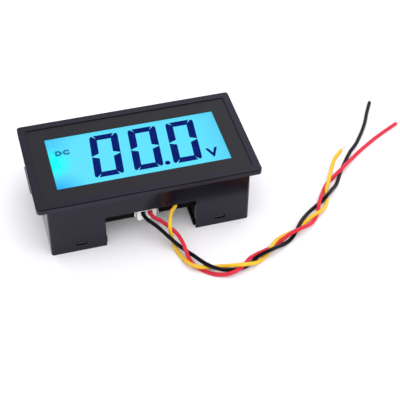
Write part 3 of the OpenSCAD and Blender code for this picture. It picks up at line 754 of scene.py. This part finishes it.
def unitMark(text, s, bottom):
    # Letters are drawn, made a mesh, and then fitted to their box
    drawing = bpy.data.curves.new(text, "FONT")
    drawing.body = text
    drawing.offset = s["weight"]
    drawing.space_character = s["spacing"]
    drawing.resolution_u = 6
    drawing.extrude = 0.5
    bm = bmesh.new()
    bm.from_mesh(meshOf(drawing))
    bmesh.ops.remove_doubles(bm, verts=bm.verts, dist=1e-5)
    low = [min(v.co[i] for v in bm.verts) for i in range(3)]
    size = [max(v.co[i] for v in bm.verts) - low[i] for i in range(3)]
    left, right, lower, upper = (c * mm for c in s["box"])
    bmesh.ops.translate(bm, verts=bm.verts, vec=[-c for c in low])
    bmesh.ops.scale(bm, verts=bm.verts, vec=(
        (right - left) / size[0], (upper - lower) / size[1], s["thick"] * mm / size[2],
    ))
    bmesh.ops.translate(bm, verts=bm.verts, vec=(left, lower, bottom))
    bmesh.ops.recalc_face_normals(bm, faces=bm.faces)
    return bm


for text, s in markSettings.items():
    bm = unitMark(text, s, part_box("lcd_segments")[0][2])
    finishPiece("unitMark" + text, meshFrom(bm, text, False), inkMaterial, "segment_ink")
print("display lit")

# Backlight and holder

sealSettings = {"colour": (176, 180, 172), "roughness": 0.5}
holderSettings = {"colour": (232, 231, 226), "roughness": 0.45, "spread": 0.05}
stripSettings = {"rubber": (236, 168, 176), "layer": (60, 44, 50), "step": 0.5}   # step in mm

litSettings = {
    # the node, its colour, how strongly it glows, and its roughness
    "diffuserFilm": ("backlight_diffuser", (150, 232, 255), 0.5, 0.6),
    "lightGuide": ("backlight_guide", (120, 222, 250), 0.45, 0.12),
    "reflectorFilm": ("backlight_reflector", (240, 242, 244), 0.1, 0.3),
    "lampResin": ("backlight_lamp", (190, 245, 255), 1.2, 0.2),
}


def litPiece(name, colour, strength, roughness):
    finish = Finish(name)
    drift = finish.noise(120, 2)
    shade = finish.blend(drift * 0.3, rgb(*colour), (1, 1, 1, 1))
    return finish.surface(
        Base_Color=shade,
        Roughness=roughness,
        Emission_Color=shade,
        Emission_Strength=strength,
    )


def stripRubber(s):
    # Thin conducting layers between clear ones
    finish = Finish("stripRubber")
    layers = (finish.axes()[0] * (math.tau / (s["step"] * mm))).sine() > 0.2
    return finish.surface(
        Base_Color=finish.blend(layers, rgb(*s["rubber"]), rgb(*s["layer"])),
        Roughness=0.55,
    )


dress(nodes["lcd_edge_seal"], madeOf("edgeSeal", **sealSettings))
dress(nodes["display_holder"], madeOf("holderPlastic", **holderSettings))
for pieceName, (nodeName, colour, strength, roughness) in litSettings.items():
    dress(nodes[nodeName], litPiece(pieceName, colour, strength, roughness))
stripMaterial = stripRubber(stripSettings)
for end in ("upper", "lower"):
    dress(nodes["contact_strip_" + end], stripMaterial)

# Circuit board

boardSettings = {
    "mask": (18, 92, 44),
    "track": (30, 122, 60),
    "laminate": (168, 158, 96),
    "trackStep": 1.3,         # mm, as are the next two
    "wander": 6,
    "maskThickness": 0.02,
    "maskRoughness": 0.28,
    "cutRoughness": 0.3,      # what a cut edge adds to it
}

partSettings = {
    "leadReach": 1.19,        # how far the chip's leads stand out, in mm as all of these
    "sleeveFrom": 0.02,       # how far the capacitors' bare ends reach
    "resistorStep": 2.4,
    "resistorLength": 2,
    "capLength": 0.35,        # of the resistors' tinned ends
    "standLength": 2.39,      # of the regulator's leads, between its body and the board
}

substances = {
    # colour, roughness, and how metallic it is
    "tin": ((200, 198, 194), 0.3, 1),
    "epoxy": ((20, 20, 22), 0.5, 0),
    "sleeve": ((18, 26, 66), 0.3, 0),
    "aluminium": ((196, 197, 200), 0.35, 1),
}

filmSettings = {"colour": (128, 34, 22), "roughness": 0.22, "coat": 0.4}
trimmerSettings = {"colour": (26, 70, 160), "roughness": 0.32}
screwSettings = {"colour": (206, 170, 98), "roughness": 0.3, "metal": 1}


def boardFinish(s):
    # Green mask with copper tracks under it, and the bare laminate at the cut edges
    finish = Finish("boardLaminate")
    y, z = finish.axes()[1:]
    low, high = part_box("circuit_board")
    wander = (finish.noise(110, 1) - 0.5) * s["wander"] * mm
    tracks = ((y + wander) * (math.tau / (s["trackStep"] * mm))).sine() > 0.1
    copper = tracks * (finish.noise(70, 2) > 0.5)
    face = finish.blend(copper, rgb(*s["mask"]), rgb(*s["track"]))
    middle = (low[2] + high[2]) / 2
    cutEdge = abs(z - middle) < (high[2] - low[2]) / 2 - s["maskThickness"] * mm
    return finish.surface(
        Base_Color=finish.blend(cutEdge, face, rgb(*s["laminate"])),
        Roughness=s["maskRoughness"] + s["cutRoughness"] * cutEdge,
        Normal=finish.bump(copper, 0.3, 0.03 * mm),
    )


def twoParts(finish, mask, first, second):
    # A piece of two substances, the second where the mask is 1
    drift = finish.noise(600, 3)
    colourA, roughnessA, metalA = substances[first]
    colourB, roughnessB, metalB = substances[second]
    return finish.surface(
        Base_Color=finish.blend(mask, rgb(*colourA), rgb(*colourB)),
        Roughness=roughnessA + (roughnessB - roughnessA) * mask + 0.08 * (drift - 0.5),
        Metallic=metalA + (metalB - metalA) * mask,
    )


def chipFinish(s):
    # The leads stand out past the body
    finish = Finish("chipEpoxy")
    x, y = finish.axes()[:2]
    low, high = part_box("converter_chip")
    out = abs(x - (low[0] + high[0]) / 2).atLeast(abs(y - (low[1] + high[1]) / 2))
    leads = out > (high[0] - low[0]) / 2 - s["leadReach"] * mm
    return twoParts(finish, leads, "epoxy", "tin")


def canFinish(s):
    # Shrink sleeve round the can, whose bare end is aluminium
    finish = Finish("canSleeve")
    bareEnd = finish.axes()[2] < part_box("supply_capacitors")[0][2] + s["sleeveFrom"] * mm
    return twoParts(finish, bareEnd, "sleeve", "aluminium")


def resistorFinish(s):
    # Tinned caps at both ends of each chip
    finish = Finish("resistorBody")
    step, length, cap = (s[key] * mm for key in ("resistorStep", "resistorLength", "capLength"))
    alongRow = finish.axes()[0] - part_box("chip_resistors")[0][0] + (step - length) / 2
    fromMiddle = (alongRow / step).fraction() * step - step / 2
    return twoParts(finish, abs(fromMiddle) > length / 2 - cap, "epoxy", "tin")


def regulatorFinish(s):
    # The leads reach from the body up to the board
    finish = Finish("regulatorBody")
    leads = finish.axes()[2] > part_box("voltage_regulator")[1][2] - s["standLength"] * mm
    return twoParts(finish, leads, "epoxy", "tin")


dress(nodes["circuit_board"], boardFinish(boardSettings))
dress(nodes["converter_chip"], chipFinish(partSettings))
dress(nodes["supply_capacitors"], canFinish(partSettings))
dress(nodes["chip_resistors"], resistorFinish(partSettings))
dress(nodes["voltage_regulator"], regulatorFinish(partSettings))
filmDip = madeOf("filmDip", **filmSettings)
trimmerPlastic = madeOf("trimmerPlastic", **trimmerSettings)
softPiece("filmCapacitors", "film_capacitors", 0.7, filmDip, "film_dip")
softPiece("trimmerBody", "trimmer_body", 0.2, trimmerPlastic, "trimmer_plastic")
dress(nodes["trimmer_screw"], madeOf("screwBrass", **screwSettings))

# Connector

nylonSettings = {"colour": (252, 252, 250), "roughness": 0.34, "spread": 0.03}
nylonEdge = 0.1               # mm
nylon = madeOf("connectorNylon", **nylonSettings)
softPiece("pinHeader", "pin_header", nylonEdge, nylon, "connector_nylon")
softPiece("plugHousing", "plug_housing", nylonEdge, nylon, "connector_nylon")
for name in ("header_pins", "plug_contacts", "solder_joint"):
    dress(nodes[name], tinned)
print("inside dressed")

# Stage

stageSettings = {
    "floorSize": 6,                      # metres
    "floorColour": (0.9, 0.9, 0.9108, 1),
    "floorSeen": 0.1,                    # share of plain white in the floor that is seen
    "dark": 0.8,                         # how dark the painted shade patch on the floor is, seen only in the case's reflections, for the wires' shade
    "darkPlace": (-2.5, -31.5, -43.5),   # mm: its left end, and how near and how far it lies
    "darkSoft": 2.5,                     # mm
    "lowLight": 0.15,                    # the room's light from the horizon
    "highLight": 1.55,                   # and from overhead
    "ambientColour": (0.985, 0.972, 1.02, 1),
    "behindCamera": 0.08,                # what a mirroring piece shows of the camera's side
    "farSide": 0.8,                      # and of the far side
    "farFrom": -0.35,                    # where the far side starts, along Y of the direction
    "farRise": 1.1,
    "towardsRight": 2,                   # how fast it grows to the right of rightFrom
    "rightFrom": 0.15,
    "brightest": 1.3,
}


def makeFloor(s):
    bm = bmesh.new()
    bmesh.ops.create_grid(bm, x_segments=1, y_segments=1, size=s["floorSize"] / 2)
    floor = inScene("floor", meshFrom(bm, "floor", False))
    finish = Finish("paleFloor")
    matt = finish.add("ShaderNodeBsdfDiffuse", None, {"Color": s["floorColour"]})
    white = finish.add("ShaderNodeEmission", None, {"Color": (1, 1, 1, 1), "Strength": 1})
    black = finish.add("ShaderNodeEmission", None, {"Color": (0, 0, 0, 1), "Strength": 0})
    camera, glossy, through = finish.rays()
    seen = (camera + glossy + through).clamped()
    lit = finish.add("ShaderNodeMixShader", None, {0: seen * s["floorSeen"], 1: matt, 2: white})
    # A painted shade patch: glossy rays that meet the floor here see it darkened, a painted reflection of
    # the wires' shade
    x, y = finish.axes()[:2]
    left, near, far = (c * mm for c in s["darkPlace"])
    soft = s["darkSoft"] * mm
    paintedShadePatch = ((x - left - (near - y)) / soft).clamped() * ((near - y) / soft).clamped()
    paintedShadePatch = paintedShadePatch * ((y - far) / soft).clamped()
    shaded = finish.add("ShaderNodeMixShader", None, {0: glossy * paintedShadePatch * s["dark"], 1: lit, 2: black})
    dress(floor, finish.close(shaded))


def makeWorld(s):
    # A plain room that lights the object from overhead and is white where it is seen.
    # Glossy pieces mirror a dark side behind the camera and a bright one at the far right.
    room = Finish("studio", "World")
    bpy.context.scene.world = room.owner
    camera, glossy, through = room.rays()
    seen = (camera + glossy + through).clamped()
    x, y, z = room.axes("Generated")
    farShare = ((y - s["farFrom"]) * s["farRise"]).clamped()
    farLight = s["farSide"] - s["behindCamera"] + s["towardsRight"] * (x - s["rightFrom"])
    mirrored = (s["behindCamera"] + farShare * farLight).atLeast(s["behindCamera"]).atMost(s["brightest"])
    shown = 1 + glossy * (mirrored - 1)
    ambient = s["lowLight"] + z.clamped() * (s["highLight"] - s["lowLight"])
    room.close(room.add("ShaderNodeBackground", None, {
        "Color": room.blend(seen, s["ambientColour"], (1, 1, 1, 1)),
        "Strength": ambient + (shown - ambient) * seen,
    }))


lampSettings = {
    # A wide soft lamp above the camera's side, left out of the reflections
    "key": {
        "place": (0.18, -0.4, 1.2),      # metres
        "aim": (0.03, 0, 0),
        "width": 1.1,
        "power": 6.4,                    # watts
        "mirrored": False,
    },
    # A small one behind the object, which glints on its edges
    "rim": {
        "place": (-0.44, 0.87, 0.72),
        "aim": (0, 0, 0),
        "width": 0.2,
        "power": 0.8,
        "mirrored": True,
    },
}


def makeLamp(name, s):
    data = bpy.data.lights.new(name, "AREA")
    data.shape = "SQUARE"
    data.size = s["width"]
    data.energy = s["power"]
    lamp = inScene(name, data)
    lamp.visible_glossy = s["mirrored"]
    lamp.location = s["place"]
    lamp.rotation_euler = (Vector(s["aim"]) - lamp.location).to_track_quat("-Z", "Y").to_euler()


makeFloor(stageSettings)
makeWorld(stageSettings)
for name, s in lampSettings.items():
    makeLamp(name, s)
bpy.context.scene.view_settings.view_transform = "Standard"
print("stage set")
